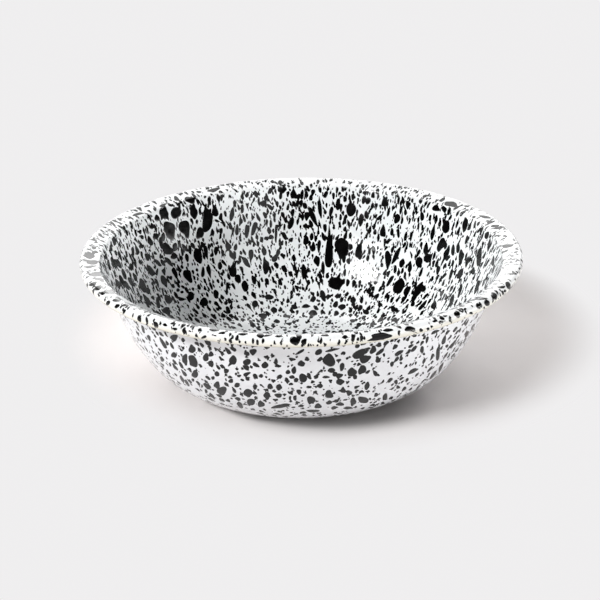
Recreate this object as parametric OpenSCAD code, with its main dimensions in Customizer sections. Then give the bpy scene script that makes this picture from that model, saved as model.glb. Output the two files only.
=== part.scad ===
// Enamelled steel basin bowl: one deep-drawn pressing with a rolled bead, under two fired coats.
// The origin is the centre of the plane that the bowl stands on, and +Z points up.
// Every layer is a band beside one path: the middle of the steel sheet, walked from the axis
// out along the base, up the wall, over the shoulder, along the lip and round the bead.
// Seen along that walk, the left side is the bowl's inside and the right side is its outside.

/* [Overall] */
// Diameter over the rolled bead
rim_d = 311; // [300:1:322]
// Height from the standing face to the top of the bead
bowl_h = 95; // [88:1:104]

/* [Base and wall] */
// Width of the flat band that the bowl stands on
foot_band_w = 13; // [6:1:20]
// How far the middle of the base is pushed up above the band
base_rise = 1.2; // [0.6:0.1:3]
// Radius of the two bends in the step between the band and the raised middle
base_step_r = 18; // [10:1:30]
// Radius of the bend between the base and the wall, on its outer face
knuckle_r = 60; // [48:1:72]
// Angle above level at which that bend gives way to the flatter curve of the wall
knuckle_angle = 55; // [48:1:62]
// Radius of that flatter curve, on its outer face
wall_r = 132; // [112:1:152]
// Angle by which the straight top of the wall leans outward from upright
lean_angle = 20; // [15:1:25]

/* [Rim] */
// Width of the rim, from the inside of the wall to the outer edge of the bead
rim_w = 14; // [12:0.5:18]
// Radius of the shoulder where the wall turns out into the lip, on its top face
shoulder_r = 3; // [2:0.5:4]
// Angle by which the lip rises outward
lip_angle = 22; // [12:1:28]
// Diameter of the rolled bead, over its enamel
bead_d = 8; // [7:0.5:9]
// Angle through which the edge of the sheet is rolled
curl_angle = 300; // [240:5:305]
// Angle round the bead at which the drained hem of the cover coat begins
hem_angle = 140; // [125:5:165]

/* [Layers] */
// Thickness of the steel sheet
steel_t = 0.7; // [0.5:0.1:1]
// Thickness of the dark ground coat on each side
ground_t = 0.1; // [0.06:0.02:0.16]
// Thickness of the white cover coat on each side
cover_t = 0.2; // [0.14:0.02:0.3]

/* [Hidden] */

// Angle between neighbouring points on the wide bends, and on the narrow ones
wide_step_angle = 3;
narrow_step_angle = 10;
// Angle up the knuckle at which the coat of the base meets the coat of the wall
base_seam_angle = 9;
// Facets of the revolved bands, in drawings that show facets
$fn = 180;

// Faces of the layers, measured from the middle of the sheet
steel_face = steel_t / 2;
ground_face = steel_face + ground_t;
cover_face = ground_face + cover_t;

// The rim, worked inward and down from the bead
bead_mid_r = bead_d / 2 - cover_face;
shoulder_mid_r = shoulder_r - cover_face;
top_angle = 90 - lean_angle;
bead_x = (rim_d - bead_d) / 2;
bead_z = bowl_h - bead_d / 2;
wall_top_x = rim_d / 2 - rim_w + cover_face * sin(top_angle);
shoulder_x = wall_top_x + shoulder_mid_r * sin(top_angle);
lip_run = (bead_x - shoulder_x - (bead_mid_r - shoulder_mid_r) * sin(lip_angle)) / cos(lip_angle);
shoulder_z = bead_z + (bead_mid_r - shoulder_mid_r) * cos(lip_angle) - lip_run * sin(lip_angle);
wall_top_z = shoulder_z + shoulder_mid_r * cos(top_angle);

// The wall leaves the knuckle on a flatter curve, and its straight top meets the shoulder.
// The height that both bends leave over sets the straight run, and the runs inward set the foot.
knuckle_mid_r = knuckle_r - cover_face;
wall_mid_r = wall_r - cover_face;
knuckle_top_z = knuckle_r - knuckle_mid_r * cos(knuckle_angle);
curve_rise = wall_mid_r * (cos(knuckle_angle) - cos(top_angle));
curve_run = wall_mid_r * (sin(top_angle) - sin(knuckle_angle));
wall_run = (wall_top_z - knuckle_top_z - curve_rise) / sin(top_angle);
foot_r = wall_top_x - wall_run * cos(top_angle) - curve_run - knuckle_mid_r * sin(knuckle_angle);

// The step of the base: two equal bends, one each way
step_angle = acos(1 - base_rise / (2 * base_step_r));
step_run = 2 * base_step_r * sin(step_angle);
raised_r = foot_r - foot_band_w - step_run;

// A station on the path is [distance from the axis, height, heading above level]
function left_of(heading) = [-sin(heading), cos(heading)];
function place(station) = [station[0], station[1]];
function last(list) = list[len(list) - 1];

// Stations along a bend of radius r from a station. A positive angle bends left, a negative one right
function bend(from, r, angle, step_angle) =
    let (
        count = max(1, ceil(abs(angle) / step_angle)),
        side = angle > 0 ? 1 : -1,
        centre = place(from) + side * r * left_of(from[2])
    )
    [
        for (i = [0:count])
            let (
                heading = from[2] + angle * i / count,
                point = centre - side * r * left_of(heading)
            )
            [point[0], point[1], heading]
    ];

// Stations at both ends of a straight run
function straight(from, run) =
    let (end = place(from) + run * [cos(from[2]), sin(from[2])])
    [from, [end[0], end[1], from[2]]];

// Points of a list of stations moved sideways, to the left where the distance is positive
function beside(stations, distance) = [for (s = stations) place(s) + distance * left_of(s[2])];
function reversed(list) = [for (i = [len(list) - 1:-1:0]) list[i]];

// The path, stretch by stretch
raised_run = straight([0, cover_face + base_rise, 0], raised_r);
step_down = bend(last(raised_run), base_step_r, -step_angle, wide_step_angle);
step_out = bend(last(step_down), base_step_r, step_angle, wide_step_angle);
band_run = straight(last(step_out), foot_band_w);
knuckle_foot = bend(last(band_run), knuckle_mid_r, base_seam_angle, wide_step_angle);
knuckle_rise = bend(last(knuckle_foot), knuckle_mid_r, knuckle_angle - base_seam_angle, wide_step_angle);
wall_curve = bend(last(knuckle_rise), wall_mid_r, top_angle - knuckle_angle, wide_step_angle);
wall_top = straight(last(wall_curve), wall_run);
shoulder_bend = bend(last(wall_top), shoulder_mid_r, lip_angle - top_angle, narrow_step_angle);
lip_out = straight(last(shoulder_bend), lip_run);
bead_face = bend(last(lip_out), bead_mid_r, -hem_angle, narrow_step_angle);
bead_hem = bend(last(bead_face), bead_mid_r, hem_angle - curl_angle, narrow_step_angle);

base_path = concat(raised_run, step_down, step_out, band_run, knuckle_foot);
wall_path = concat(knuckle_rise, wall_curve, wall_top);
lip_path = concat(shoulder_bend, lip_out);
bead_path = concat(bead_face, bead_hem);

// A solid of revolution between two distances beside a stretch of the path
module band(path, near, far) {
    rotate_extrude()
        polygon(concat(beside(path, near), reversed(beside(path, far))));
}

module steel_shell() {
    color("#8d9094")
        band(concat(base_path, wall_path, lip_path, bead_path), -steel_face, steel_face);
}

module inside_ground_coat() {
    color("#1d2026")
        band(concat(base_path, wall_path, lip_path, bead_path), steel_face, ground_face);
}

module outside_ground_coat() {
    color("#1d2026")
        band(concat(base_path, wall_path, lip_path), -ground_face, -steel_face);
}

module inside_cover_coat() {
    color("#e9eef1")
        band(concat(base_path, wall_path), ground_face, cover_face);
}

module outside_cover_coat() {
    color("#dfdfe4")
        band(concat(wall_path, lip_path), -cover_face, -ground_face);
}

module rim_cover_coat() {
    color("#f1f2ee")
        band(concat(lip_path, bead_face), ground_face, cover_face);
}

module rim_hem_coat() {
    color("#efe6c4")
        band(bead_hem, ground_face, cover_face);
}

module base_cover_coat() {
    color("#dfdfe4")
        band(base_path, -cover_face, -ground_face);
}

steel_shell();
inside_ground_coat();
outside_ground_coat();
inside_cover_coat();
outside_cover_coat();
rim_cover_coat();
rim_hem_coat();
base_cover_coat();
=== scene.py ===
"""Looks of the enamelled basin bowl over its CAD frame: coats, black splatter, floor, light and camera.

Everything is in metres, +Z up, with the origin at the centre of the plane that the bowl stands on.
"""
import math

import bpy
import numpy as np
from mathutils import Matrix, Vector
from mathutils.bvhtree import BVHTree


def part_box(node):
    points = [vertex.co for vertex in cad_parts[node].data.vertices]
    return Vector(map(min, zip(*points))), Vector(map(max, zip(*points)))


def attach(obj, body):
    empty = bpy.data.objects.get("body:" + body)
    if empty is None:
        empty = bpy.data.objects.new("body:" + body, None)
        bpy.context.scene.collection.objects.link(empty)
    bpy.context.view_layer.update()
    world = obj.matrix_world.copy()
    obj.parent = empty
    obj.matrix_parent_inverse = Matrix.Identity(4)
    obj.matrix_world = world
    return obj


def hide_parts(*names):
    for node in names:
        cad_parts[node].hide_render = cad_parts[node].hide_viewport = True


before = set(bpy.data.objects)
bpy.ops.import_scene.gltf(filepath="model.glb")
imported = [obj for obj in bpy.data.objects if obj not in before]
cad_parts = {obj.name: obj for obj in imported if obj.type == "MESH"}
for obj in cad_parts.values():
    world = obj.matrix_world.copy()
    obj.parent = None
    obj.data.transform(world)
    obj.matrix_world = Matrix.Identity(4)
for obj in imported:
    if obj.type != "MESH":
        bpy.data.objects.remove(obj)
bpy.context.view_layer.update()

SEED = 20431
MM = 0.001

# Sizes of the bowl that the frame's boxes don't give, as the CAD model has them
RIM_W = 14 * MM
BEAD_D = 8 * MM
SHOULDER_R = 3 * MM
WALL_R = 132 * MM
KNUCKLE_R = 60 * MM
FOOT_BAND_W = 13 * MM
BASE_RISE = 1.2 * MM
BASE_STEP_R = 18 * MM
COAT_FACE = 0.65 * MM
GROUND_FACE = 0.45 * MM
KNUCKLE_ANGLE = math.radians(55)
LEAN_ANGLE = math.radians(20)
LIP_ANGLE = math.radians(22)
HEM_ANGLE = math.radians(140)
CURL_ANGLE = math.radians(300)
BASE_SEAM_ANGLE = math.radians(9)

# The splatter stands this little above the white, and the white is drawn in by as much
PROUD = 0.03 * MM
SUNK = 0.02 * MM

# How finely the coats are turned and how finely their outline is cut
AROUND = 448
SHARP_ANGLE = math.radians(40)
HIDDEN_STEP = 2
WIDE_STEP = math.radians(1.5)
NARROW_STEP = math.radians(6)
RUN_STEP = 2 * MM

# Nearer the axis than this a point is on it, and this little keeps a division from zero
ON_AXIS = 1e-7
TINY = 1e-18

# The camera, fitted to the outline of the rim and the wall in the photograph
PHOTO_SIDE = 600
CAMERA_DISTANCE = 1.0
CAMERA_DROP = 0.406
CAMERA_ROLL = -0.012
CAMERA_AIM = Vector((-0.00119, 0.0, 0.0531))
FOCAL_PX = 1390.5
SENSOR = 36.0
CLIP_END = 100


class Face:
    """A finished face of the bowl: its outline from the axis outward, turned about +Z."""

    def __init__(self, stations, offset):
        x, z, heading = np.array(stations).T
        self.side = 1.0 if offset > 0 else -1.0
        self.nr = -np.sin(heading) * self.side
        self.nz = np.cos(heading) * self.side
        self.r = x + abs(offset) * self.nr
        self.z = z + abs(offset) * self.nz
        step = np.hypot(np.diff(self.r), np.diff(self.z))
        self.s = np.concatenate([[0.0], np.cumsum(step)])

    def radius(self, s):
        """Distance from the axis at a distance s along the outline."""
        return np.interp(s, self.s, self.r)

    def at(self, s, phi, lift):
        """Points at a distance s along the outline and an angle phi round the axis, lifted off the face."""
        r = np.interp(s, self.s, self.r) + lift * np.interp(s, self.s, self.nr)
        z = np.interp(s, self.s, self.z) + lift * np.interp(s, self.s, self.nz)
        return np.stack([r * np.cos(phi), r * np.sin(phi), z], -1)

    def normal(self, s, phi):
        """Which way the face looks at a place on it."""
        nr, nz = np.interp(s, self.s, self.nr), np.interp(s, self.s, self.nz)
        return np.stack([nr * np.cos(phi), nr * np.sin(phi), nz], -1)

    def find(self, point):
        """The place (s, phi) on the face nearest to a point, and how far away it is."""
        r = math.hypot(point[0], point[1])
        ar, az = self.r[:-1], self.z[:-1]
        br, bz = np.diff(self.r), np.diff(self.z)
        share = ((r - ar) * br + (point[2] - az) * bz) / np.maximum(br * br + bz * bz, TINY)
        share = np.clip(share, 0, 1)
        away = np.hypot(ar + share * br - r, az + share * bz - point[2])
        i = int(np.argmin(away))
        s = self.s[i] + share[i] * (self.s[i + 1] - self.s[i])
        return s, math.atan2(point[1], point[0]), away[i]


def straight(stations, run):
    """Walk on from the last station in a straight line."""
    x, z, heading = stations[-1]
    count = max(1, math.ceil(run / RUN_STEP))
    for i in range(1, count + 1):
        d = run * i / count
        stations.append((x + d * math.cos(heading), z + d * math.sin(heading), heading))


def bend(stations, radius, angle, step):
    """Walk on round an arc: a positive angle bends up and inward, a negative one out and down."""
    x, z, heading = stations[-1]
    side = math.copysign(1.0, angle)
    centre_x = x - side * radius * math.sin(heading)
    centre_z = z + side * radius * math.cos(heading)
    count = max(2, math.ceil(abs(angle) / step))
    for i in range(1, count + 1):
        a = heading + angle * i / count
        stations.append((centre_x + side * radius * math.sin(a), centre_z - side * radius * math.cos(a), a))


def sheet_path():
    """The middle of the steel sheet, as the CAD model walks it, and where its stretches end."""
    rim_low, rim_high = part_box("rim_cover_coat")
    rim_r = min(rim_high.x, rim_high.y, -rim_low.x, -rim_low.y)
    top_angle = math.pi / 2 - LEAN_ANGLE
    bead_r, shoulder_r = BEAD_D / 2 - COAT_FACE, SHOULDER_R - COAT_FACE
    knuckle_r, wall_r = KNUCKLE_R - COAT_FACE, WALL_R - COAT_FACE
    bead_x, bead_z = rim_r - BEAD_D / 2, rim_high.z - BEAD_D / 2
    wall_top_x = rim_r - RIM_W + COAT_FACE * math.sin(top_angle)
    shoulder_x = wall_top_x + shoulder_r * math.sin(top_angle)
    lip_run = (bead_x - shoulder_x - (bead_r - shoulder_r) * math.sin(LIP_ANGLE)) / math.cos(LIP_ANGLE)
    shoulder_z = bead_z + (bead_r - shoulder_r) * math.cos(LIP_ANGLE) - lip_run * math.sin(LIP_ANGLE)
    wall_top_z = shoulder_z + shoulder_r * math.cos(top_angle)
    knuckle_top_z = KNUCKLE_R - knuckle_r * math.cos(KNUCKLE_ANGLE)
    curve_rise = wall_r * (math.cos(KNUCKLE_ANGLE) - math.cos(top_angle))
    curve_run = wall_r * (math.sin(top_angle) - math.sin(KNUCKLE_ANGLE))
    wall_run = (wall_top_z - knuckle_top_z - curve_rise) / math.sin(top_angle)
    foot_r = wall_top_x - wall_run * math.cos(top_angle) - curve_run - knuckle_r * math.sin(KNUCKLE_ANGLE)
    step_angle = math.acos(1 - BASE_RISE / (2 * BASE_STEP_R))
    raised_r = foot_r - FOOT_BAND_W - 2 * BASE_STEP_R * math.sin(step_angle)

    path = [(0.0, COAT_FACE + BASE_RISE, 0.0)]
    ends = {}
    straight(path, raised_r)
    bend(path, BASE_STEP_R, -step_angle, WIDE_STEP)
    bend(path, BASE_STEP_R, step_angle, WIDE_STEP)
    straight(path, FOOT_BAND_W)
    bend(path, knuckle_r, BASE_SEAM_ANGLE, WIDE_STEP)
    ends["base"] = len(path)
    bend(path, knuckle_r, KNUCKLE_ANGLE - BASE_SEAM_ANGLE, WIDE_STEP)
    ends["knuckle"] = len(path)
    bend(path, wall_r, top_angle - KNUCKLE_ANGLE, WIDE_STEP)
    straight(path, wall_run)
    ends["wall"] = len(path)
    bend(path, shoulder_r, LIP_ANGLE - top_angle, NARROW_STEP)
    ends["shoulder"] = len(path)
    straight(path, lip_run)
    ends["lip"] = len(path)
    bend(path, bead_r, -HEM_ANGLE, NARROW_STEP)
    ends["bead"] = len(path)
    bend(path, bead_r, HEM_ANGLE - CURL_ANGLE, NARROW_STEP)
    ends["curl"] = len(path)
    return path, ends


PATH, ENDS = sheet_path()
INSIDE = Face(PATH, COAT_FACE - PROUD)
OUTSIDE = Face(PATH[:ENDS["lip"]], PROUD - COAT_FACE)


def mesh_object(name, vertices, faces, material):
    """A smooth object of one material that belongs to the bowl's only body."""
    mesh = bpy.data.meshes.new(name)
    mesh.from_pydata([tuple(v) for v in vertices], [], faces)
    mesh.validate()
    mesh.polygons.foreach_set("use_smooth", [True] * len(mesh.polygons))
    mesh.set_sharp_from_angle(angle=SHARP_ANGLE)
    mesh.materials.append(material)
    obj = bpy.data.objects.new(name, mesh)
    bpy.context.scene.collection.objects.link(obj)
    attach(obj, "root")
    return obj


def turned(outline):
    """Vertices and faces of a closed outline of (r, z) points turned about +Z."""
    vertices, rings = [], []
    turn = [2 * math.pi * k / AROUND for k in range(AROUND)]
    for r, z in outline:
        if r < ON_AXIS:
            rings.append([len(vertices)] * AROUND)
            vertices.append((0.0, 0.0, z))
        else:
            rings.append(list(range(len(vertices), len(vertices) + AROUND)))
            vertices += [(r * math.cos(a), r * math.sin(a), z) for a in turn]
    faces = []
    for near, far in zip(rings, rings[1:] + rings[:1]):
        for k in range(AROUND):
            m = (k + 1) % AROUND
            corners = list(dict.fromkeys([near[k], near[m], far[m], far[k]]))
            if len(corners) > 2:
                faces.append(corners)
    return vertices, faces


def coat(name, face, first, last, material):
    """A white coat between two stations of a face, down to the ground coat, in place of its CAD node."""
    top = [(face.r[i], face.z[i]) for i in range(first, last)]
    under = Face(PATH, GROUND_FACE * face.side)
    hidden = sorted({*range(first, last, HIDDEN_STEP), last - 1}, reverse=True)
    bottom = [(under.r[i], under.z[i]) for i in hidden]
    outline = top + bottom
    if face.side < 0:
        outline.reverse()
    vertices, faces = turned(outline)
    obj = mesh_object(name + "_finish", vertices, faces, material)
    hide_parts(name)
    return obj


def camera_axes():
    """Where the camera stands and its right, up and forward directions."""
    back = Vector((0.0, -math.cos(CAMERA_DROP), math.sin(CAMERA_DROP))) * CAMERA_DISTANCE
    place = Vector((0.0, 0.0, CAMERA_AIM.z)) + back
    forward = (CAMERA_AIM - place).normalized()
    level = forward.cross(Vector((0, 0, 1))).normalized()
    upright = level.cross(forward)
    right = math.cos(CAMERA_ROLL) * level + math.sin(CAMERA_ROLL) * upright
    up = -math.sin(CAMERA_ROLL) * level + math.cos(CAMERA_ROLL) * upright
    return place, right, up, forward


EYE, EYE_RIGHT, EYE_UP, EYE_FORWARD = camera_axes()


def photo_ray(px, py):
    """Direction in which the camera sees a pixel of the photograph."""
    across = float(px - PHOTO_SIDE / 2) / FOCAL_PX
    down = float(py - PHOTO_SIDE / 2) / FOCAL_PX
    return (EYE_FORWARD + across * EYE_RIGHT - down * EYE_UP).normalized()


def make_camera():
    """The camera of the photograph. Its lens is set by its field across the square frame."""
    data = bpy.data.cameras.new("camera")
    data.sensor_width = SENSOR
    data.lens = FOCAL_PX / PHOTO_SIDE * SENSOR
    data.clip_end = CLIP_END
    camera = bpy.data.objects.new("camera", data)
    bpy.context.scene.collection.objects.link(camera)
    matrix = camera.matrix_world.to_3x3()
    matrix.col[0], matrix.col[1], matrix.col[2] = EYE_RIGHT, EYE_UP, -EYE_FORWARD
    camera.matrix_world = matrix.to_4x4()
    camera.location = EYE
    bpy.context.scene.camera = camera


# Materials: scales are in features per metre, colours are linear and relief is in metres

PEEL_SCALE = 420
SWELL_SCALE = 55
RELIEF_DETAIL = 1.0
GLOSS_DETAIL = 3.0
NOISE_LEVELS = (0.3, 0.7)

# Each kind of surface: the scale, detail and roughness of the noise in its tone, the levels between which
# that noise turns one tone into the other, the scale and range of its gloss, its fine and broad relief,
# and the values that are the same all over it
WHITE = {
    "tone": (38, 4.0, 0.6), "levels": (0.35, 0.65), "gloss": (90, 0.07, 0.13),
    "relief": (0.004 * MM, 0.03 * MM), "even": {"IOR": 1.52},
}
BLACK = {
    "tone": (160, 3.0, 0.6), "levels": (0.35, 0.75), "gloss": (120, 0.06, 0.12),
    "relief": (0.004 * MM, 0.03 * MM), "even": {"IOR": 1.42},
}
GROUND = {
    "tone": (140, 4.0, 0.5), "levels": NOISE_LEVELS, "gloss": (200, 0.2, 0.4),
    "relief": (0.01 * MM, 0.02 * MM), "even": {},
}
STEEL = {
    "tone": (300, 5.0, 0.5), "levels": NOISE_LEVELS, "gloss": (500, 0.35, 0.55),
    "relief": (0.006 * MM, 0.01 * MM), "even": {"Metallic": 1.0},
}

# The materials of the bowl: the kind, and the tones where the coat lies thin and where it lies thick
FINISHES = {
    "inside_white": (WHITE, (0.89, 0.91, 0.92), (0.93, 0.95, 0.955)),
    # The outside white is a darker, bluer copy of the inside white enamel: painted shade on the outer wall
    "outside_shaded_white": (WHITE, (0.85, 0.87, 0.90), (0.895, 0.91, 0.94)),
    "rim_white": (WHITE, (0.86, 0.875, 0.88), (0.90, 0.915, 0.92)),
    "hem_cream": (WHITE, (0.83, 0.80, 0.68), (0.88, 0.86, 0.77)),
    "black_enamel": (BLACK, (0.0015, 0.0013, 0.0013), (0.0035, 0.0032, 0.0032)),
    "ground_enamel": (GROUND, (0.008, 0.009, 0.012), (0.02, 0.022, 0.028)),
    "sheet_steel": (STEEL, (0.18, 0.18, 0.185), (0.36, 0.36, 0.37)),
}

# Where the rim's white turns cream: from and to these radii, and down between these heights
CREAM_RADII = (150 * MM, 153 * MM)
CREAM_HEIGHTS = (93.0 * MM, 89.2 * MM)
CREAM = (0.88, 0.855, 0.75)

# The sockets of a Mix node that mixes colours
MIX_SHARE = 0
MIX_FROM = 6
MIX_TO = 7
MIX_RESULT = 2


def node(tree, kind, **values):
    """A new node whose inputs, or else whose settings, have the given values."""
    made = tree.nodes.new(kind)
    for key, value in values.items():
        if key in made.inputs:
            made.inputs[key].default_value = value
        else:
            setattr(made, key, value)
    return made


def wire(tree, source, target, out=0, into=0):
    tree.links.new(source.outputs[out], target.inputs[into])


def new_material(name):
    material = bpy.data.materials.new(name)
    material.use_nodes = True
    tree = material.node_tree
    tree.nodes.clear()
    shader = tree.nodes.new("ShaderNodeBsdfPrincipled")
    wire(tree, shader, tree.nodes.new("ShaderNodeOutputMaterial"))
    return material, tree, shader


def object_noise(tree, scale, detail, roughness=0.5):
    """Noise in the bowl's own space."""
    place = tree.nodes.get("place") or tree.nodes.new("ShaderNodeTexCoord")
    place.name = "place"
    noise = node(tree, "ShaderNodeTexNoise", Scale=scale, Detail=detail, Roughness=roughness)
    wire(tree, place, noise, "Object", "Vector")
    return noise


def ramp(tree, source, low, high, stops):
    """A colour ramp over the noise between two of its levels."""
    made = tree.nodes.new("ShaderNodeValToRGB")
    for element, level, colour in zip(made.color_ramp.elements, (low, high), stops):
        element.position = level
        element.color = (*colour, 1)
    wire(tree, source, made, "Fac", "Fac")
    return made


def mapped(tree, source, low, high, to=(0.0, 1.0), out="Value"):
    """A value taken evenly from one span over to another, and held at its ends."""
    made = tree.nodes.new("ShaderNodeMapRange")
    made.inputs["From Min"].default_value = low
    made.inputs["From Max"].default_value = high
    made.inputs["To Min"].default_value = to[0]
    made.inputs["To Max"].default_value = to[1]
    wire(tree, source, made, out, "Value")
    return made


def maths(tree, operation, first, second, outs=(0, 0)):
    """One number out of two."""
    made = node(tree, "ShaderNodeMath", operation=operation)
    wire(tree, first, made, outs[0], 0)
    wire(tree, second, made, outs[1], 1)
    return made


def relief(tree, shader, fine, broad):
    """The faint unevenness of fired enamel: a fine orange peel over a broad swell."""
    peel = node(tree, "ShaderNodeBump", Strength=1.0, Distance=fine)
    wire(tree, object_noise(tree, PEEL_SCALE, RELIEF_DETAIL), peel, "Fac", "Height")
    swell = node(tree, "ShaderNodeBump", Strength=1.0, Distance=broad)
    wire(tree, object_noise(tree, SWELL_SCALE, RELIEF_DETAIL), swell, "Fac", "Height")
    wire(tree, peel, swell, "Normal", "Normal")
    wire(tree, swell, shader, "Normal", "Normal")


def gloss(tree, shader, scale, low, high):
    """A roughness that wanders between two values."""
    noise = object_noise(tree, scale, GLOSS_DETAIL)
    wire(tree, mapped(tree, noise, *NOISE_LEVELS, (low, high), "Fac"), shader, "Result", "Roughness")


def finish(name):
    """One of the FINISHES as a material."""
    kind, thin, thick = FINISHES[name]
    material, tree, shader = new_material(name)
    tone = ramp(tree, object_noise(tree, *kind["tone"]), *kind["levels"], (thin, thick))
    wire(tree, tone, shader, "Color", "Base Color")
    for socket, value in kind["even"].items():
        shader.inputs[socket].default_value = value
    gloss(tree, shader, *kind["gloss"])
    relief(tree, shader, *kind["relief"])
    return material, tree, shader


def rim_enamel():
    """The white of the lip and bead, which drains thin and turns cream down the outer face of the bead."""
    material, tree, shader = finish("rim_white")
    white = shader.inputs["Base Color"].links[0].from_socket
    split = tree.nodes.new("ShaderNodeSeparateXYZ")
    wire(tree, tree.nodes["place"], split, "Object", "Vector")
    flat = tree.nodes.new("ShaderNodeCombineXYZ")
    wire(tree, split, flat, "X", "X")
    wire(tree, split, flat, "Y", "Y")
    radius = node(tree, "ShaderNodeVectorMath", operation="LENGTH")
    wire(tree, flat, radius, "Vector", 0)
    outer = mapped(tree, radius, *CREAM_RADII)
    low = mapped(tree, split, *CREAM_HEIGHTS, out="Z")
    mix = node(tree, "ShaderNodeMix", data_type="RGBA")
    mix.inputs[MIX_TO].default_value = (*CREAM, 1)
    wire(tree, maths(tree, "MULTIPLY", outer, low), mix, 0, MIX_SHARE)
    tree.links.new(white, mix.inputs[MIX_FROM])
    wire(tree, mix, shader, MIX_RESULT, "Base Color")
    return material


# Splatter

# A drop is rings inside its edge, each a share of its size and a lift: a few where it is small, and
# else one every so often, the first at a share of its size and crowned by a share of what it stands proud
SMALL_RINGS = ((1.0, -SUNK), (0.86, 0.7 * PROUD))
RING_GAP = 0.9 * MM
FIRST_RING = 0.93
CROWN = 0.45

# A drop's outline has this many points for its size, and from this many on it gets all its rings
LEAST_POINTS = 5
POINTS_PER_MM = 4.5
POINTS_RANGE = (7, 40)
FINGER_POINTS = 1.5
FINE_POINTS = 20

# Its soft lobes (how many round it, and how high), its fingers at one end and its taper
LOBES = ((2, 0.07), (3, 0.08), (4, 0.05), (5, 0.03))
LOBE_RANGE = (0, 1.4)
FINGERS = (2, 5)
FINGER_TURN = (-0.9, 0.9)
FINGER_LENGTH = (0.5, 2.2)
FINGER_WIDTH = (0.12, 0.26)
TAPER = (-0.35, 0.35)

# Nearer the axis than this a face is unrolled as a flat disc, and beyond it as a band
FLAT_R = 40 * MM


class Flecks:
    """Many thin lens-shaped drops in one mesh. Each is closed, crowned a little and sunk at its edge."""

    def __init__(self, face):
        self.face = face
        self.vertices = []
        self.faces = []
        self.count = 0

    def add(self, s0, phi0, u, v, fine):
        """A drop round (s0, phi0), whose outline lies u round the axis and v along the face from there."""
        n = len(u)
        rings = drop_rings(u, v, fine)
        first = self.count
        for share, lift in rings:
            s, phi = unrolled(self.face, s0, phi0, u * share, v * share)
            self.vertices.append(self.face.at(s, phi, lift))
        self.vertices.append(self.face.at(np.array([s0]), np.array([phi0]), PROUD))
        self.count += n * len(rings) + 1
        around = [(i, (i + 1) % n) for i in range(n)]
        if self.face.side < 0:
            around = [(j, i) for i, j in around]
        for ring in range(len(rings) - 1):
            low, high = first + ring * n, first + (ring + 1) * n
            self.faces += [(low + i, low + j, high + j, high + i) for i, j in around]
        inner = first + (len(rings) - 1) * n
        self.faces += [(inner + i, inner + j, first + n * len(rings)) for i, j in around]
        self.faces.append([first + j for i, j in reversed(around)])

    def make(self, name, material):
        vertices = np.concatenate(self.vertices)
        return mesh_object(name, vertices, self.faces, material)


def drop_rings(u, v, fine):
    """The rings of a drop from its edge in, close enough to follow a curved face if it is fine."""
    if not fine:
        return SMALL_RINGS
    reach = max(np.ptp(u), np.ptp(v)) / 2
    count = max(2, math.ceil(reach / RING_GAP))
    shares = [FIRST_RING * (1 - i / count) for i in range(count)]
    return [(1.0, -SUNK)] + [(share, PROUD * (1 - CROWN * share ** 2)) for share in shares]


def unrolled(face, s0, phi0, u, v):
    """Places on a face that lie u round the axis and v along the outline from one place on it."""
    if face.radius(s0) < FLAT_R:
        x, y = s0 + v, u
        return np.hypot(x, y), phi0 + np.arctan2(y, x)
    s = s0 + v
    return s, phi0 + u / face.radius(s)


def laid_flat(face, s0, phi0, s, phi):
    """How far places on a face lie round the axis and along the outline from one of them: undoes unrolled."""
    if face.radius(s0) < FLAT_R:
        turn = phi - phi0
        return s * np.sin(turn), s * np.cos(turn) - s0
    turn = (phi - phi0 + math.pi) % (2 * math.pi) - math.pi
    return turn * face.radius(s0), s - s0


def drop_outline(rng, width, length, lean, points, ragged, rough=1.0):
    """Outline of a drop: an oval with soft lobes and a taper along it and, if ragged, fingers at one end."""
    if ragged:
        points = int(points * FINGER_POINTS)
    a = np.linspace(0, 2 * math.pi, points, endpoint=False)
    swell = np.ones(points)
    for lobe, amount in LOBES:
        swell += rough * amount * rng.uniform(*LOBE_RANGE) * np.cos(lobe * a + rng.uniform(0, 2 * math.pi))
    if ragged:
        end = rng.choice([-0.5, 0.5]) * math.pi
        swell *= 1 - ragged / 2
        for finger in range(rng.integers(*FINGERS)):
            turn = (a - end - rng.uniform(*FINGER_TURN) + math.pi) % (2 * math.pi) - math.pi
            swell += rng.uniform(*FINGER_LENGTH) * ragged * np.exp(-(turn / rng.uniform(*FINGER_WIDTH)) ** 2)
    u, v = width / 2 * swell * np.cos(a), length / 2 * swell * np.sin(a)
    u = u * (1 + rng.uniform(*TAPER) * np.clip(v / (length / 2), -1, 1))
    return u * math.cos(lean) + v * math.sin(lean), v * math.cos(lean) - u * math.sin(lean)


def points_for(size):
    """How many outline points a drop of that size gets."""
    return int(np.clip(LEAST_POINTS + POINTS_PER_MM * size / MM, *POINTS_RANGE))


# The drops read off the photograph: centre x and y, width and height in its pixels, and how many
# degrees the drop's top leans to the right

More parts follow.
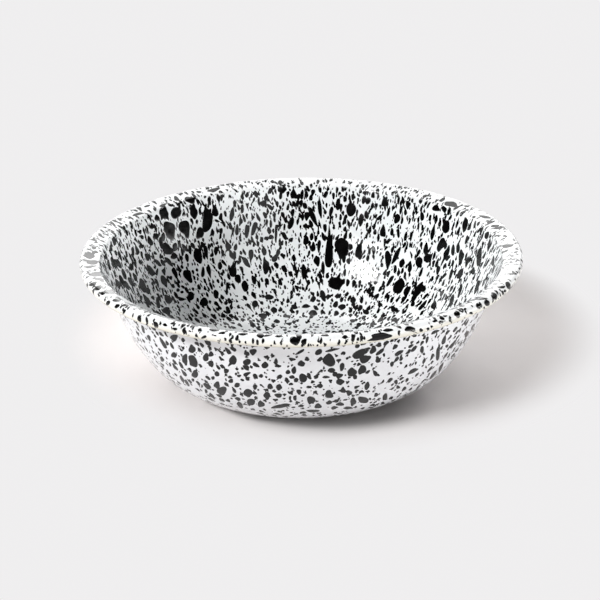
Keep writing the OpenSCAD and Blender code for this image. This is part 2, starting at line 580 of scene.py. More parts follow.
INSIDE_LEFT = [
    (207, 221, 11, 31, 3), (170, 231, 12, 20, -10), (185, 229, 11, 19, -18), (164, 213, 10, 17, -10),
    (176, 213, 11, 13, 0), (194, 213, 9, 15, -10), (190, 200, 13, 8, 15), (215, 211, 8, 13, -8),
    (198, 256, 10, 19, -12), (216, 251, 5, 9, 8), (228, 246, 6, 10, -15), (232, 255, 5, 12, -28),
    (157, 218, 5, 8, -10), (150, 241, 5, 11, -20), (114, 241, 4, 10, -15), (137, 250, 4, 10, -15),
    (133, 251, 3, 9, -12), (120, 256, 3, 12, -20), (167, 249, 9, 14, -28), (175, 247, 5, 10, 0),
    (174, 256, 7, 7, -30), (169, 262, 4, 14, -42), (151, 271, 6, 13, -35), (164, 281, 6, 13, -24),
    (175, 273, 5, 12, -20), (131, 267, 4, 8, -15), (147, 257, 4, 9, -20), (122, 281, 4, 14, -24),
    (143, 286, 7, 16, -25), (147, 300, 5, 13, -35), (158, 303, 4, 12, -10), (168, 299, 7, 11, -35),
    (167, 311, 7, 9, -40), (188, 276, 8, 15, -27), (191, 296, 7, 9, 0), (204, 302, 9, 9, -45),
    (216, 294, 6, 9, -10), (209, 271, 4, 15, -14), (203, 272, 4, 11, 0), (206, 252, 4, 16, -12),
    (200, 233, 8, 13, 5), (200, 211, 3, 9, 0), (197, 222, 3, 6, 0), (195, 229, 3, 5, 0),
    (185, 248, 4, 11, -42), (161, 243, 4, 13, -10), (193, 246, 4, 8, -30),
    (187, 258, 4, 9, -10), (127, 233, 3, 7, -10), (140, 232, 4, 5, -15), (116, 263, 4, 9, -20),
    (184, 214, 4, 6, 0), (152, 226, 4, 7, 0), (156, 236, 6, 7, -30), (142, 237, 4, 5, -20),
    (163, 237, 5, 10, 5), (183, 238, 3, 6, -35), (181, 258, 4, 6, -20), (203, 245, 4, 8, -30),
    (209, 247, 3, 8, 0), (212, 255, 4, 5, 30), (217, 230, 2, 8, -10), (221, 231, 4, 7, 0),
    (217, 221, 6, 3, 20), (224, 236, 2, 6, 0), (217, 243, 3, 4, 0), (221, 247, 3, 4, 0),
    (222, 274, 4, 4, -40), (218, 281, 3, 5, -20), (222, 284, 3, 6, 0), (182, 267, 3, 5, -30),
    (188, 265, 2, 5, 0), (193, 272, 3, 5, -10), (197, 270, 3, 4, -20), (171, 278, 3, 5, 0),
    (158, 263, 4, 10, -45), (163, 263, 4, 8, -30), (164, 272, 4, 7, -15), (157, 272, 3, 8, 5),
    (140, 262, 3, 6, -15), (173, 286, 4, 5, -30), (183, 287, 3, 5, -60), (178, 290, 4, 4, 0),
    (182, 292, 4, 3, 0), (193, 289, 3, 4, -30), (199, 287, 4, 6, -20), (181, 299, 8, 4, 15),
    (153, 298, 3, 6, -30), (211, 286, 3, 9, -20), (222, 297, 4, 6, -30), (226, 303, 4, 5, 0),
    (210, 302, 3, 4, 0), (119, 264, 4, 11, -22), (109, 265, 3, 12, -15), (113, 262, 4, 12, -20),
    (124, 274, 4, 12, -20), (118, 284, 4, 12, -25), (126, 285, 5, 12, -35), (112, 283, 2, 8, -20),
    (131, 282, 4, 12, -30), (135, 277, 4, 9, -20), (111, 248, 3, 8, -10), (116, 253, 3, 6, -20),
    (120, 245, 2, 8, -15), (106, 257, 3, 7, -25), (148, 291, 5, 7, -20), (141, 298, 3, 6, -10),
]
INSIDE_MIDDLE = [
    (233, 271, 9, 15, 5), (238, 279, 7, 9, -30), (251, 255, 6, 14, 3), (246, 262, 6, 15, -28),
    (264, 251, 5, 10, -5), (266, 267, 8, 17, 4), (275, 258, 5, 10, 25), (247, 231, 5, 15, 5),
    (254, 229, 5, 16, 16), (237, 230, 4, 12, 3), (232, 214, 5, 14, 10), (258, 217, 3, 11, -25),
    (244, 218, 3, 9, -15), (247, 195, 4, 6, 10), (294, 194, 6, 11, -14), (282, 189, 9, 9, -20),
    (291, 223, 6, 13, 22), (288, 207, 3, 8, 10), (294, 204, 4, 7, -20), (270, 207, 4, 9, -45),
    (276, 233, 3, 19, 0), (271, 237, 6, 5, 0), (284, 269, 5, 8, -22), (291, 240, 5, 5, -20),
    (220, 266, 5, 8, 5), (224, 263, 3, 9, -40), (245, 286, 7, 12, -10), (254, 280, 5, 10, -8),
    (255, 304, 7, 7, 0), (245, 298, 4, 6, -40), (263, 316, 9, 6, 0), (269, 297, 9, 6, 0),
    (274, 310, 7, 6, 20), (228, 310, 5, 8, -20), (294, 307, 8, 5, 0), (306, 306, 9, 4, 0),
    (313, 313, 9, 6, 0), (329, 252, 9, 40, 2), (342, 247, 15, 20, 3), (359, 252, 9, 18, 2),
    (351, 210, 10, 15, 8), (338, 204, 5, 13, 6), (345, 199, 4, 7, 0), (353, 197, 4, 7, 0),
    (320, 209, 5, 21, -4), (313, 217, 6, 24, -26), (307, 216, 6, 9, 10), (331, 212, 4, 12, 10),
    (325, 228, 4, 9, -5), (361, 220, 6, 13, 8), (368, 201, 5, 8, 12), (385, 202, 7, 11, 8),
    (306, 240, 6, 10, -5), (319, 246, 4, 13, 5), (313, 247, 5, 11, 5), (317, 261, 6, 12, -5),
    (323, 268, 4, 14, -2), (304, 272, 7, 18, 0), (302, 195, 4, 10, 8), (335, 283, 16, 15, 20),
    (323, 296, 6, 12, -20), (353, 300, 6, 7, 15), (345, 229, 4, 6, 10), (342, 307, 8, 6, -15),
    (305, 206, 5, 7, -20), (285, 269, 4, 8, -15), (292, 195, 4, 7, 0), (278, 253, 4, 9, 15),
]
INSIDE_RIGHT = [
    (388, 260, 6, 21, 2), (396, 256, 5, 19, 26), (402, 263, 6, 9, 12), (410, 267, 4, 12, 8),
    (419, 262, 7, 12, 8), (421, 272, 3, 11, 20), (426, 249, 5, 14, 3), (428, 258, 8, 10, 20),
    (433, 232, 4, 17, 12), (446, 227, 9, 16, 3), (465, 225, 6, 19, 8), (441, 245, 7, 16, 22),
    (447, 252, 6, 16, 20), (453, 250, 4, 12, 5), (458, 248, 4, 11, 3), (461, 257, 6, 17, 8),
    (479, 257, 5, 20, 9), (489, 245, 3, 14, 9), (487, 235, 4, 10, 20), (467, 262, 3, 12, 12),
    (460, 274, 5, 13, 24), (473, 271, 4, 8, 12), (451, 274, 3, 13, 14), (460, 291, 3, 16, 18),
    (477, 287, 4, 15, 20), (452, 299, 4, 10, 18), (451, 304, 4, 6, 40), (438, 270, 4, 10, 10),
    (437, 263, 3, 10, 20), (432, 279, 3, 7, 20), (399, 286, 11, 17, 20), (407, 291, 7, 13, 30),
    (419, 289, 9, 19, 38), (376, 281, 5, 9, 8), (390, 281, 4, 14, 30), (423, 305, 4, 13, 40),
    (434, 305, 5, 10, 22), (413, 304, 4, 6, 30), (493, 261, 3, 12, 8), (401, 203, 3, 6, 5),
    (408, 205, 5, 9, 4), (397, 219, 6, 11, 22), (383, 231, 6, 13, 2), (375, 232, 4, 6, 10),
    (392, 232, 4, 8, -4), (422, 216, 4, 11, -6), (436, 208, 8, 7, 10), (366, 312, 7, 5, 10),
    (380, 305, 5, 5, 0), (396, 310, 5, 5, 10), (369, 291, 5, 7, 10), (373, 289, 4, 6, 5),
    (380, 217, 3, 9, 40), (444, 209, 5, 8, -20),
]
OUTSIDE_LEFT = [
    (174, 338, 8, 7, 0), (183, 340, 4, 5, -20), (163, 343, 4, 13, -30), (172, 346, 3, 8, -25),
    (167, 343, 3, 6, -25), (155, 336, 2, 5, -30), (149, 338, 3, 8, -25), (143, 329, 3, 9, -20),
    (192, 349, 7, 9, -10), (174, 355, 6, 6, -20), (167, 352, 2, 5, -25), (185, 359, 7, 12, 5),
    (193, 361, 9, 13, -18), (206, 357, 6, 9, 10), (211, 354, 5, 6, 0), (211, 364, 6, 7, 0),
    (228, 351, 4, 9, -40), (233, 360, 9, 11, 0), (218, 367, 3, 7, -40), (217, 374, 5, 6, -20),
    (190, 370, 3, 6, -30), (195, 374, 7, 8, 0), (175, 367, 3, 9, -40), (181, 365, 3, 9, -30),
    (184, 373, 3, 9, -40), (213, 378, 4, 4, 0), (217, 385, 6, 8, 0), (207, 386, 5, 9, -50),
    (222, 391, 10, 9, 0), (202, 386, 2, 4, 0), (206, 391, 3, 5, -20), (212, 396, 3, 9, -40),
    (187, 383, 3, 9, -35), (182, 379, 3, 9, -25), (222, 400, 3, 7, -60), (162, 359, 4, 6, -30),
    (160, 350, 2, 6, -40), (193, 380, 3, 4, -30), (156, 345, 2, 5, -35), (168, 372, 2, 7, -35),
]
OUTSIDE_FRONT = [
    (253, 352, 7, 7, 0), (247, 362, 8, 7, 0), (256, 365, 4, 8, -60), (265, 365, 7, 7, 0),
    (230, 377, 5, 3, 0), (239, 376, 5, 3, 0), (236, 374, 3, 3, 0), (247, 374, 4, 8, 70),
    (231, 381, 5, 5, -40), (237, 385, 6, 5, -30), (234, 390, 3, 8, -35), (248, 393, 9, 9, -10),
    (251, 402, 9, 7, -20), (240, 405, 5, 8, -50), (255, 386, 5, 4, 0), (261, 376, 5, 4, 0),
    (261, 404, 7, 7, 0), (267, 396, 7, 8, -10), (279, 387, 6, 7, 0), (276, 361, 4, 6, 0),
    (288, 372, 5, 5, 0), (294, 370, 5, 8, 10), (292, 377, 6, 4, 0), (303, 378, 8, 10, -5),
    (309, 376, 4, 8, -30), (307, 359, 5, 5, 0), (329, 360, 12, 14, 0), (300, 352, 3, 11, 60),
    (332, 350, 3, 14, 78), (342, 367, 5, 9, 15), (335, 374, 6, 5, 0), (326, 377, 8, 3, 0),
    (320, 386, 6, 5, 0), (309, 387, 6, 3, 0), (299, 392, 5, 6, -20), (329, 394, 8, 9, 5),
    (343, 390, 6, 6, 0), (349, 393, 6, 6, 0), (340, 382, 8, 7, 10), (359, 354, 9, 18, 62),
    (365, 359, 8, 12, 60), (373, 350, 6, 9, 30), (380, 352, 4, 11, 50), (384, 355, 3, 4, 0),
    (352, 372, 10, 9, 0), (362, 370, 8, 10, 30), (355, 377, 5, 5, 0), (311, 400, 10, 9, 10),
    (281, 406, 5, 20, 80), (295, 398, 4, 6, 0), (290, 398, 3, 5, 0), (291, 384, 5, 3, 0),
    (353, 402, 6, 9, 15), (363, 400, 11, 7, 20), (367, 386, 5, 9, 20), (318, 406, 8, 5, 0),
    (340, 404, 8, 4, 0), (255, 388, 4, 4, 0), (313, 411, 14, 3, 0), (348, 408, 10, 3, 0),
]
OUTSIDE_RIGHT = [
    (395, 347, 4, 7, 40), (399, 353, 4, 11, 58), (405, 348, 2, 2, 0), (411, 346, 3, 7, 55),
    (392, 364, 4, 6, 20), (401, 363, 3, 3, 0), (375, 373, 4, 7, -30), (378, 375, 4, 3, 0),
    (396, 382, 4, 5, 10), (398, 387, 4, 4, 0), (413, 371, 4, 12, 62), (401, 376, 2, 4, 50),
    (407, 380, 3, 5, 30), (404, 389, 3, 7, 40), (385, 397, 5, 8, 25), (391, 398, 3, 5, 60),
    (376, 395, 4, 5, 40), (370, 399, 3, 3, 0), (422, 350, 4, 8, 5), (427, 340, 3, 8, 15),
    (422, 343, 3, 6, 30), (435, 332, 3, 10, 65), (438, 353, 5, 17, 8), (432, 357, 3, 8, 25),
    (424, 361, 3, 7, 20), (444, 340, 4, 10, 20), (453, 344, 3, 12, 38), (441, 367, 3, 11, 28),
    (433, 375, 3, 12, 38), (453, 356, 3, 8, 30), (467, 334, 3, 8, 25), (473, 327, 3, 8, 25),
    (465, 341, 3, 8, 15), (424, 354, 3, 3, 0), (416, 358, 2, 3, 30), (447, 346, 3, 4, 40),
    (460, 330, 2, 6, 25), (457, 350, 2, 6, 35), (426, 367, 2, 3, 0), (423, 373, 2, 3, 0),
]
LIP_LEFT = [
    (89, 256, 15, 6, 4), (91, 262, 17, 5, 4), (89, 267, 13, 3, -6), (96, 274, 15, 5, -4),
    (98, 279, 12, 3, 5), (93, 284, 9, 4, -20), (98, 288, 11, 5, -25), (103, 293, 13, 4, -30),
    (110, 292, 10, 5, 0), (117, 300, 9, 4, 0), (108, 303, 4, 6, 25), (117, 306, 6, 4, -30),
    (125, 305, 7, 3, -10), (124, 312, 3, 6, 20), (94, 248, 5, 3, 0), (95, 252, 7, 3, 5),
    (94, 238, 3, 2, 0), (96, 242, 4, 2, 0), (95, 270, 4, 2, 0), (88, 272, 4, 2, 10),
    (103, 281, 8, 2, 5), (104, 288, 5, 2, -10), (105, 299, 2, 5, 5), (100, 251, 3, 2, 20),
    (138, 214, 12, 3, -12), (147, 206, 7, 2, -15), (155, 209, 4, 4, 30), (163, 205, 8, 3, -20),
    (170, 205, 6, 3, 30), (214, 190, 13, 4, -15), (199, 192, 6, 2, 0), (205, 197, 3, 3, 0),
]
LIP_RIGHT = [
    (451, 204, 14, 6, 8), (449, 211, 4, 9, 10), (466, 206, 4, 2, 0), (467, 210, 4, 2, 0),
    (474, 217, 4, 3, -20), (485, 217, 12, 3, 12), (488, 221, 6, 2, 0), (495, 226, 9, 3, -8),
    (503, 227, 6, 2, 20), (505, 236, 5, 2, 5), (494, 235, 6, 2, -50), (514, 240, 4, 2, 20),
    (512, 256, 5, 2, 0), (514, 273, 6, 3, 30), (495, 284, 6, 2, -5), (500, 281, 4, 2, 0),
    (479, 299, 18, 3, -6), (462, 306, 7, 2, 0), (471, 313, 4, 3, 0), (445, 316, 5, 2, 0),
    (465, 309, 3, 3, 0), (505, 291, 3, 3, 0), (517, 249, 4, 2, 20),
    (511, 262, 4, 2, 0), (503, 268, 3, 2, 0),
]
LIP_FRONT = [
    (295, 341, 11, 9, 0), (304, 342, 6, 7, 0), (381, 336, 24, 8, -6), (410, 329, 14, 6, 4),
    (388, 330, 10, 4, 0),
    (399, 333, 3, 6, 0), (253, 341, 3, 6, 0), (263, 341, 3, 6, 0), (237, 338, 4, 6, 15),
    (321, 341, 3, 7, 10), (345, 337, 6, 4, 0), (491, 222, 3, 9, 75), (498, 228, 3, 10, 80),
    (507, 246, 13, 4, -6), (508, 285, 5, 9, -25), (494, 296, 6, 9, -35), (487, 303, 6, 7, -20),
    (478, 306, 4, 7, -20), (501, 287, 3, 9, 85), (457, 314, 6, 8, -30), (450, 319, 3, 7, 0),
    (435, 321, 5, 3, -20), (428, 329, 3, 4, 0), (204, 337, 6, 3, -20), (214, 335, 5, 2, 15),
    (214, 330, 11, 3, 4),
    (147, 321, 3, 8, -10), (156, 325, 5, 7, -20), (165, 325, 5, 3, 20), (190, 331, 3, 2, 20),
    (243, 334, 10, 3, 0), (268, 335, 9, 3, -10), (279, 336, 8, 3, 0), (325, 335, 8, 3, 0),
    (337, 334, 9, 3, -5), (222, 333, 7, 3, -10), (312, 335, 6, 3, 0), (358, 339, 3, 4, 0),
    (366, 331, 5, 3, 0), (421, 330, 4, 4, 0), (441, 322, 6, 3, -20), (175, 329, 5, 3, 10),
]

READ_DROPS = INSIDE_LEFT + INSIDE_MIDDLE + INSIDE_RIGHT + OUTSIDE_LEFT + OUTSIDE_FRONT + OUTSIDE_RIGHT
READ_DROPS += LIP_LEFT + LIP_RIGHT + LIP_FRONT

# What a pixel of the photograph spans on the bowl, how much longer the slant makes a drop at most, and
# how far from the coats a ray may meet them
PHOTO_PIXEL = 0.71 * MM
MOST_STRETCH = 4.0
HIT_SLACK = 2 * PROUD + 0.05 * MM

# Of the read drops larger than this many pixels, this share is ragged, and by this much
READ_RAGGED_PX = 9
READ_RAGGED_SHARE = 0.6
READ_RAGGED = 0.25
READ_POINT_SCALE = 0.7


def photo_drops(rng, solid, lists):
    """The drops read off the photograph, each outline point carried along the camera's ray to the coat."""
    drops = []
    for x, y, width, height, lean in lists:
        size = math.sqrt(width * height)
        ragged = READ_RAGGED if size > READ_RAGGED_PX and rng.random() < READ_RAGGED_SHARE else 0.0
        points = points_for(size * READ_POINT_SCALE * MM)
        u, v = drop_outline(rng, width, height, math.radians(lean), points, ragged)
        centre = cast(solid, x, y)
        places = [cast(solid, x + du, y - dv) for du, dv in zip(u, v)]
        if centre is None or any(p is None or p[0] is not centre[0] for p in places):
            print("no place for the drop at", x, y)
            continue
        face, s0, phi0 = centre
        s = np.array([p[1] for p in places])
        phi = np.array([p[2] for p in places])
        if np.ptp(s) > MOST_STRETCH * max(width, height) * PHOTO_PIXEL:
            print("the drop crosses an edge at", x, y)
            continue
        drops.append((face, s0, phi0, *laid_flat(face, s0, phi0, s, phi)))
    return drops


def cast(solid, px, py):
    """Where a pixel's ray first meets the coats: (face, s, phi), or None."""
    hit = solid.ray_cast(EYE, photo_ray(px, py))[0]
    if hit is None:
        return None
    best = None
    for face in (INSIDE, OUTSIDE):
        s, phi, away = face.find(hit)
        if best is None or away < best[0]:
            best = (away, face, s, phi)
    return best[1:] if best[0] < HIT_SLACK else None


# A leaning drop is covered by small ovals, which may overlap by this share of their width. No face has
# room for more drops than this
OVAL_OVERLAP = 0.3
FIELD_ROOM = 12000


class Field:
    """Where drops lie on a face already, so that new ones keep a thin white line between them."""

    def __init__(self, face):
        self.face = face
        self.place = np.zeros((FIELD_ROOM, 3))
        self.s = np.zeros(FIELD_ROOM)
        self.width = np.zeros(FIELD_ROOM)
        self.length = np.zeros(FIELD_ROOM)
        self.count = 0

    def free(self, s, phi, width, length, closeness):
        """Whether an upright oval of that width and length clears the ones that are there."""
        n = self.count
        place = self.face.at(np.array([s]), np.array([phi]), 0.0)[0]
        along = self.s[:n] - s
        across = np.maximum(((self.place[:n] - place) ** 2).sum(1) - along ** 2, 0)
        near = across * 4 / (self.width[:n] + width) ** 2 + along ** 2 * 4 / (self.length[:n] + length) ** 2
        return bool(np.all(near > closeness ** 2))

    def add(self, s, phi, width, length):
        self.place[self.count] = self.face.at(np.array([s]), np.array([phi]), 0.0)[0]
        self.s[self.count] = s
        self.width[self.count] = width
        self.length[self.count] = length
        self.count += 1

    def add_outline(self, s0, phi0, u, v):
        """Cover a drop of any lean with small ovals along its longer axis."""
        if np.ptp(u) > np.ptp(v):
            axis, other = u, v
        else:
            axis, other = v, u
        slope = np.dot(axis, other) / np.dot(axis, axis)
        narrow = 2 * np.sqrt(2) * np.std(other - slope * axis)
        long = np.ptp(axis)
        count = max(1, math.ceil(long / narrow - OVAL_OVERLAP))
        for i in range(count):
            d = (i + 0.5 - count / 2) * max(0.0, long - narrow) / max(count - 1, 1)
            du, dv = (d, slope * d) if axis is u else (slope * d, d)
            s, phi = unrolled(self.face, s0, phi0, np.array([du]), np.array([dv]))
            self.add(float(s[0]), float(phi[0]), narrow, narrow)


# Random drops: how often each is tried, how its length and lean vary, how far from a place on a face the
# camera's ray may meet it, and how finely the outline is cut to share the drops out along it
TRIES = 8
LENGTH_RANGE = (0.75, 1.3)
LEAN_SPREAD = 12
SIGHT_SLACK = 1.5 * MM
CUTS = 400
LEAST_WEIGHT = 1e-9

# Of those above the first size a share is ragged, and those below the second have rough outlines
RAGGED_SIZE = 2.2 * MM
RAGGED_SHARE = 0.6
RAGGED_RANGE = (0.15, 0.55)
ROUGH_SIZE = 4.6 * MM
ROUGH = 1.8

# Per face: the station that they reach and, by distance along the outline, how many times as long as
# wide they run and how thickly they fall
WALL_S = INSIDE.s[ENDS["wall"] - 1]
SHOULDER_S = INSIDE.s[ENDS["shoulder"] - 1]
FALLS = {
    INSIDE: {
        "to": ENDS["bead"] + 4,
        "stretch": ((0.0, 0.07, 0.12, WALL_S - 4 * MM, SHOULDER_S), (1.0, 1.2, 1.9, 2.2, 1.7)),
        "density": ((0.0, 0.065, 0.1, WALL_S, SHOULDER_S), (0.45, 0.72, 1.15, 1.2, 0.68)),
    },
    OUTSIDE: {
        "to": ENDS["lip"],
        "stretch": ((0.0, 0.2), (1.15, 1.15)),
        "density": ((0.0, 0.2), (1.0, 1.0)),
    },
}

# The face, how many drops, from and to which size, whether only out of the camera's sight, and how much
# of the clear distance to the next drop they keep
SMALL, MIDDLING, SEEN, LARGE = 0.8 * MM, 1.7 * MM, 5.4 * MM, 8.5 * MM
DROPS = [
    (INSIDE, 260, SEEN, LARGE, True, 0.8),
    (INSIDE, 4600, MIDDLING, SEEN, False, 0.72),
    (INSIDE, 2000, SMALL, MIDDLING, False, 0.95),
    (OUTSIDE, 220, SEEN, LARGE, True, 0.9),
    (OUTSIDE, 2800, MIDDLING, SEEN, False, 0.86),
    (OUTSIDE, 1200, SMALL, MIDDLING, False, 0.95),
]


def scatter(rng, solid, field, count, small, large, hidden, closeness):
    """Random drops of one kind on a face, the large ones first."""
    face, fall = field.face, FALLS[field.face]
    last = face.s[fall["to"] - 1]
    grid = np.linspace(0.0, last, CUTS)
    weight = np.cumsum((face.radius(grid) + LEAST_WEIGHT) * np.interp(grid, *fall["density"]))
    sizes = small * (large / small) ** rng.random(count)
    drops = []
    for size in np.sort(sizes)[::-1]:
        for attempt in range(TRIES):
            s0 = float(np.interp(rng.random(), weight / weight[-1], grid))
            phi0 = rng.uniform(-math.pi, math.pi)
            if hidden and in_view(solid, face, s0, phi0):
                continue
            long = np.interp(s0, *fall["stretch"]) * rng.uniform(*LENGTH_RANGE)
            width, length = size / math.sqrt(long), size * math.sqrt(long)
            if length / 2 > min(s0, last - s0) and s0 > FLAT_R:
                continue
            if field.free(s0, phi0, width, length, closeness):
                drops.append((face, s0, phi0, *random_outline(rng, size, width, length)))
                field.add(s0, phi0, width, length)
                break
    return drops


def random_outline(rng, size, width, length):
    lean = math.radians(rng.normal(0, LEAN_SPREAD))
    rough = ROUGH if size < ROUGH_SIZE else 1.0
    ragged = rng.uniform(*RAGGED_RANGE) if size > RAGGED_SIZE and rng.random() < RAGGED_SHARE else 0.0
    return drop_outline(rng, width, length, lean, points_for(size), ragged, rough)


def in_view(solid, face, s, phi):
    """Whether the camera sees a place on a face."""
    s, phi = np.array([s]), np.array([phi])
    place, normal = Vector(face.at(s, phi, 0.0)[0]), Vector(face.normal(s, phi)[0])
    sight = place - EYE
    if sight.dot(normal) > 0:
        return False
    hit = solid.ray_cast(EYE, sight.normalized())[0]
    return hit is not None and (hit - place).length < SIGHT_SLACK


# The pieces that the splatter is made in: each up to a station of its face, and in how many sectors. Past
# the margin before the shoulder the inside is curved so tightly that every drop gets all its rings
PATCHES = [
    ("floor_splatter", INSIDE, ENDS["base"] - 1, 1),
    ("knuckle_splatter", INSIDE, ENDS["knuckle"] - 1, 2),
    ("wall_splatter", INSIDE, ENDS["wall"] - 1, 4),
    ("rim_splatter", INSIDE, len(PATH) - 1, 3),
    ("outside_base_splatter", OUTSIDE, ENDS["base"] - 1, 1),
    ("outside_knuckle_splatter", OUTSIDE, ENDS["knuckle"] - 1, 2),
    ("outside_wall_splatter", OUTSIDE, ENDS["lip"] - 1, 4),
]
CURVED_MARGIN = 4 * MM


def patch_name(face, s0, phi0):
    """The piece that a drop belongs to."""
    name, sectors = next((k, n) for k, of, last, n in PATCHES if of is face and s0 <= face.s[last])
    if sectors == 1:
        return name
    sector = int((phi0 + math.pi) / (2 * math.pi) * sectors) % sectors
    return f"{name}_{sector + 1}"


def all_drops(solid):
    """The drops read off the photograph, and then the random ones between them."""
    rng = np.random.default_rng(SEED)
    fields = {face: Field(face) for face in FALLS}
    drops = photo_drops(rng, solid, READ_DROPS)
    print("drops read off the photograph:", len(drops))
    for face, s0, phi0, u, v in drops:
        fields[face].add_outline(s0, phi0, u, v)
    for face, count, *kind in DROPS:
        more = scatter(rng, solid, fields[face], count, *kind)
        print("inside" if face is INSIDE else "outside", "drops:", len(more), "of", count)
        drops += more
    return drops


def make_splatter(solid):
    material = finish("black_enamel")[0]
    parts = {}
    for face, s0, phi0, u, v in all_drops(solid):
        curved = face is INSIDE and s0 > WALL_S - CURVED_MARGIN
        part = parts.setdefault(patch_name(face, s0, phi0), Flecks(face))
        part.add(s0, phi0, u, v, len(u) > FINE_POINTS or curved)
    for name, part in sorted(parts.items()):
        made = part.make(name, material)
        print(name, sum(len(p.vertices) - 2 for p in made.data.polygons), "triangles")


# Stage

CARD_SCALE = 30
CARD_DETAIL = 2.0
CARD_TONES = ((0.775, 0.74, 0.73), (0.785, 0.75, 0.74))
CARD_ROUGHNESS = 0.9
CARD_SPECULAR = 0.1
FLOOR_REACH = 30.0

# The shadow on the card: its middle, the radii between which it fades, and the card's tone beyond
SHADOW_MIDDLE = (0.024, 0.08, 0.0)
SHADOW_RADII = (0.16, 0.216)
CARD_WHITE = (0.867, 0.859, 0.865, 1.0)

# The card is darker against the bowl's foot, as a painted contact shadow: in a space squeezed across, a
# middle, two radii and a share
PAINTED_SHADE_SQUEEZE = (0.7, 1.0, 1.0)
PAINTED_SHADE_MIDDLE = (0.014, -0.06, 0.0)
PAINTED_SHADE_RADII = (0.028, 0.054)
PAINTED_SHADE_TONE = 0.46


def distance_from(tree, source, out, point):
    made = node(tree, "ShaderNodeVectorMath", operation="DISTANCE")
    wire(tree, source, made, out, 0)
    made.inputs[1].default_value = point
    return made


def card_tone_and_painted_shade(tree):
    """The card's colour, with a painted contact shadow that darkens it against the bowl's foot."""
    noise = object_noise(tree, CARD_SCALE, CARD_DETAIL)
    tone = ramp(tree, noise, *NOISE_LEVELS, CARD_TONES)
    squeezed = node(tree, "ShaderNodeVectorMath", operation="MULTIPLY")
    wire(tree, tree.nodes["place"], squeezed, "Object", 0)
    squeezed.inputs[1].default_value = PAINTED_SHADE_SQUEEZE
    reach = distance_from(tree, squeezed, "Vector", PAINTED_SHADE_MIDDLE)
    # Painted shade: the card's colour is darkened near the foot as a contact shadow
    painted_shade = mapped(tree, reach, *PAINTED_SHADE_RADII, (PAINTED_SHADE_TONE, 1.0))
    painted_shade.interpolation_type = "SMOOTHSTEP"
    shade = node(tree, "ShaderNodeVectorMath", operation="SCALE")
    wire(tree, tone, shade, "Color", 0)
    wire(tree, painted_shade, shade, "Result", "Scale")
    return shade


def plain_share(tree):
    """How far the card shows plain: away from the bowl, and only to the camera and in reflections."""
    share = mapped(tree, distance_from(tree, tree.nodes["place"], "Object", SHADOW_MIDDLE), *SHADOW_RADII)
    share.interpolation_type = "SMOOTHSTEP"
    path = tree.nodes.new("ShaderNodeLightPath")
    mirrored = maths(tree, "MAXIMUM", path, path, ("Is Glossy Ray", "Is Transmission Ray"))
    either = maths(tree, "MAXIMUM", path, mirrored, ("Is Camera Ray", 0))
    return maths(tree, "MULTIPLY", share, either)


def floor_card():
    """A pale card, which turns plain away from the bowl, so that the bowl's shadow fades out."""
    material, tree, shader = new_material("floor_card")
    # The base colour carries a painted contact shadow at the bowl's foot
    wire(tree, card_tone_and_painted_shade(tree), shader, "Vector", "Base Color")
    shader.inputs["Roughness"].default_value = CARD_ROUGHNESS
    shader.inputs["Specular IOR Level"].default_value = CARD_SPECULAR
    card = node(tree, "ShaderNodeEmission", Color=CARD_WHITE, Strength=1.0)
    mix = tree.nodes.new("ShaderNodeMixShader")
    wire(tree, plain_share(tree), mix, 0, 0)
    wire(tree, shader, mix, 0, 1)
    wire(tree, card, mix, 0, 2)
    output = next(n for n in tree.nodes if n.type == "OUTPUT_MATERIAL")
    wire(tree, mix, output)
    return material


def make_floor():
    mesh = bpy.data.meshes.new("floor")
    near, far = -FLOOR_REACH, FLOOR_REACH
    mesh.from_pydata([(near, near, 0), (far, near, 0), (far, far, 0), (near, far, 0)], [], [(0, 1, 2, 3)])
    floor = bpy.data.objects.new("floor", mesh)
    bpy.context.scene.collection.objects.link(floor)
    mesh.materials.append(floor_card())


# The dim, even room, and the soft boxes in it: azimuth from straight behind the bowl and positive to the
# right, elevation, angular width and height, all in degrees, and radiance
ROOM_COLOUR = (1.0, 0.99, 0.985, 1.0)
ROOM_LEVEL = 0.015
LAMP_DISTANCE = 20
LAMPS = {
    "key": (-128, 38, 21, 10, 51.0),
    "streak": (-134, 22.2, 22, 1.6, 26.0),
    "window": (-45, 12.5, 45, 25, 1.2),
    "glow": (-64, 13, 9, 11, 20.0),
    "back": (0, 20, 70, 40, 2.9),
    "back_right": (50, 20, 40, 30, 0.7),
    "high_back": (-5, 50, 80, 26, 2.3),
    "overhead": (0, 85, 50, 50, 0.3),
    "front_right": (146, 27, 42, 24, 1.2),
    "right_low": (108, 6, 54, 9, 14.5),
}


def make_world():
    world = bpy.data.worlds.new("studio")
    bpy.context.scene.world = world
    world.use_nodes = True
    tree = world.node_tree
    tree.nodes.clear()
    background = node(tree, "ShaderNodeBackground", Color=ROOM_COLOUR, Strength=ROOM_LEVEL)
    wire(tree, background, tree.nodes.new("ShaderNodeOutputWorld"))


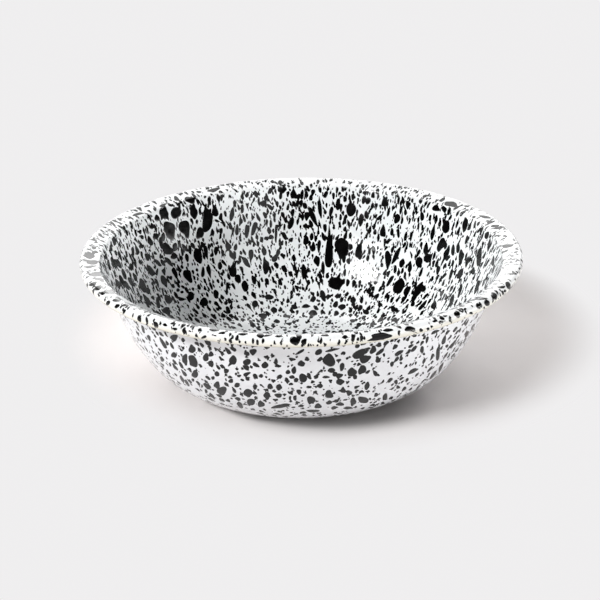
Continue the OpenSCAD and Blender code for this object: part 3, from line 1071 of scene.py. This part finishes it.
def soft_box(name, azimuth, elevation, wide, high, radiance):
    """An oval soft box, which faces the bowl and shines as its area times pi times its radiance."""
    data = bpy.data.lights.new(name, "AREA")
    data.shape = "ELLIPSE"
    data.size = 2 * LAMP_DISTANCE * math.tan(math.radians(wide / 2))
    data.size_y = 2 * LAMP_DISTANCE * math.tan(math.radians(high / 2))
    data.energy = radiance * math.pi * math.pi / 4 * data.size * data.size_y
    lamp = bpy.data.objects.new(name, data)
    bpy.context.scene.collection.objects.link(lamp)
    a, e = math.radians(azimuth), math.radians(elevation)
    toward = Vector((math.sin(a) * math.cos(e), math.cos(a) * math.cos(e), math.sin(e)))
    lamp.location = toward * LAMP_DISTANCE
    lamp.rotation_mode = "QUATERNION"
    lamp.rotation_quaternion = (-toward).to_track_quat("-Z", "Y")


def make_lights():
    for name, lamp in LAMPS.items():
        soft_box(name, *lamp)


def make_bowl():
    """The white coats in place of their CAD nodes, and the materials of the nodes under them."""
    inside = finish("inside_white")[0]
    # The outside coats get the darker, bluer white, which is painted shade
    outside = finish("outside_shaded_white")[0]
    rim = rim_enamel()
    hem = finish("hem_cream")[0]
    coats = [
        coat("inside_cover_coat", INSIDE, 0, ENDS["wall"], inside),
        coat("rim_cover_coat", INSIDE, ENDS["wall"] - 1, ENDS["bead"], rim),
        coat("rim_hem_coat", INSIDE, ENDS["bead"] - 1, ENDS["curl"], hem),
        coat("base_cover_coat", OUTSIDE, 0, ENDS["base"], outside),
        coat("outside_cover_coat", OUTSIDE, ENDS["base"] - 1, ENDS["lip"], outside),
    ]
    ground = finish("ground_enamel")[0]
    steel = finish("sheet_steel")[0]
    under = {"steel_shell": steel, "inside_ground_coat": ground, "outside_ground_coat": ground}
    for name, material in under.items():
        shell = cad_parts[name]
        shell.data.materials.clear()
        shell.data.materials.append(material)
    return coats


def joined_tree(objects):
    """One search tree over the meshes of several objects, which all sit at the origin."""
    vertices, polygons = [], []
    for obj in objects:
        start = len(vertices)
        vertices += [v.co.copy() for v in obj.data.vertices]
        polygons += [[start + i for i in p.vertices] for p in obj.data.polygons]
    return BVHTree.FromPolygons(vertices, polygons)


make_splatter(joined_tree(make_bowl()))
make_floor()
make_world()
make_lights()
make_camera()
bpy.context.scene.view_settings.view_transform = "Standard"
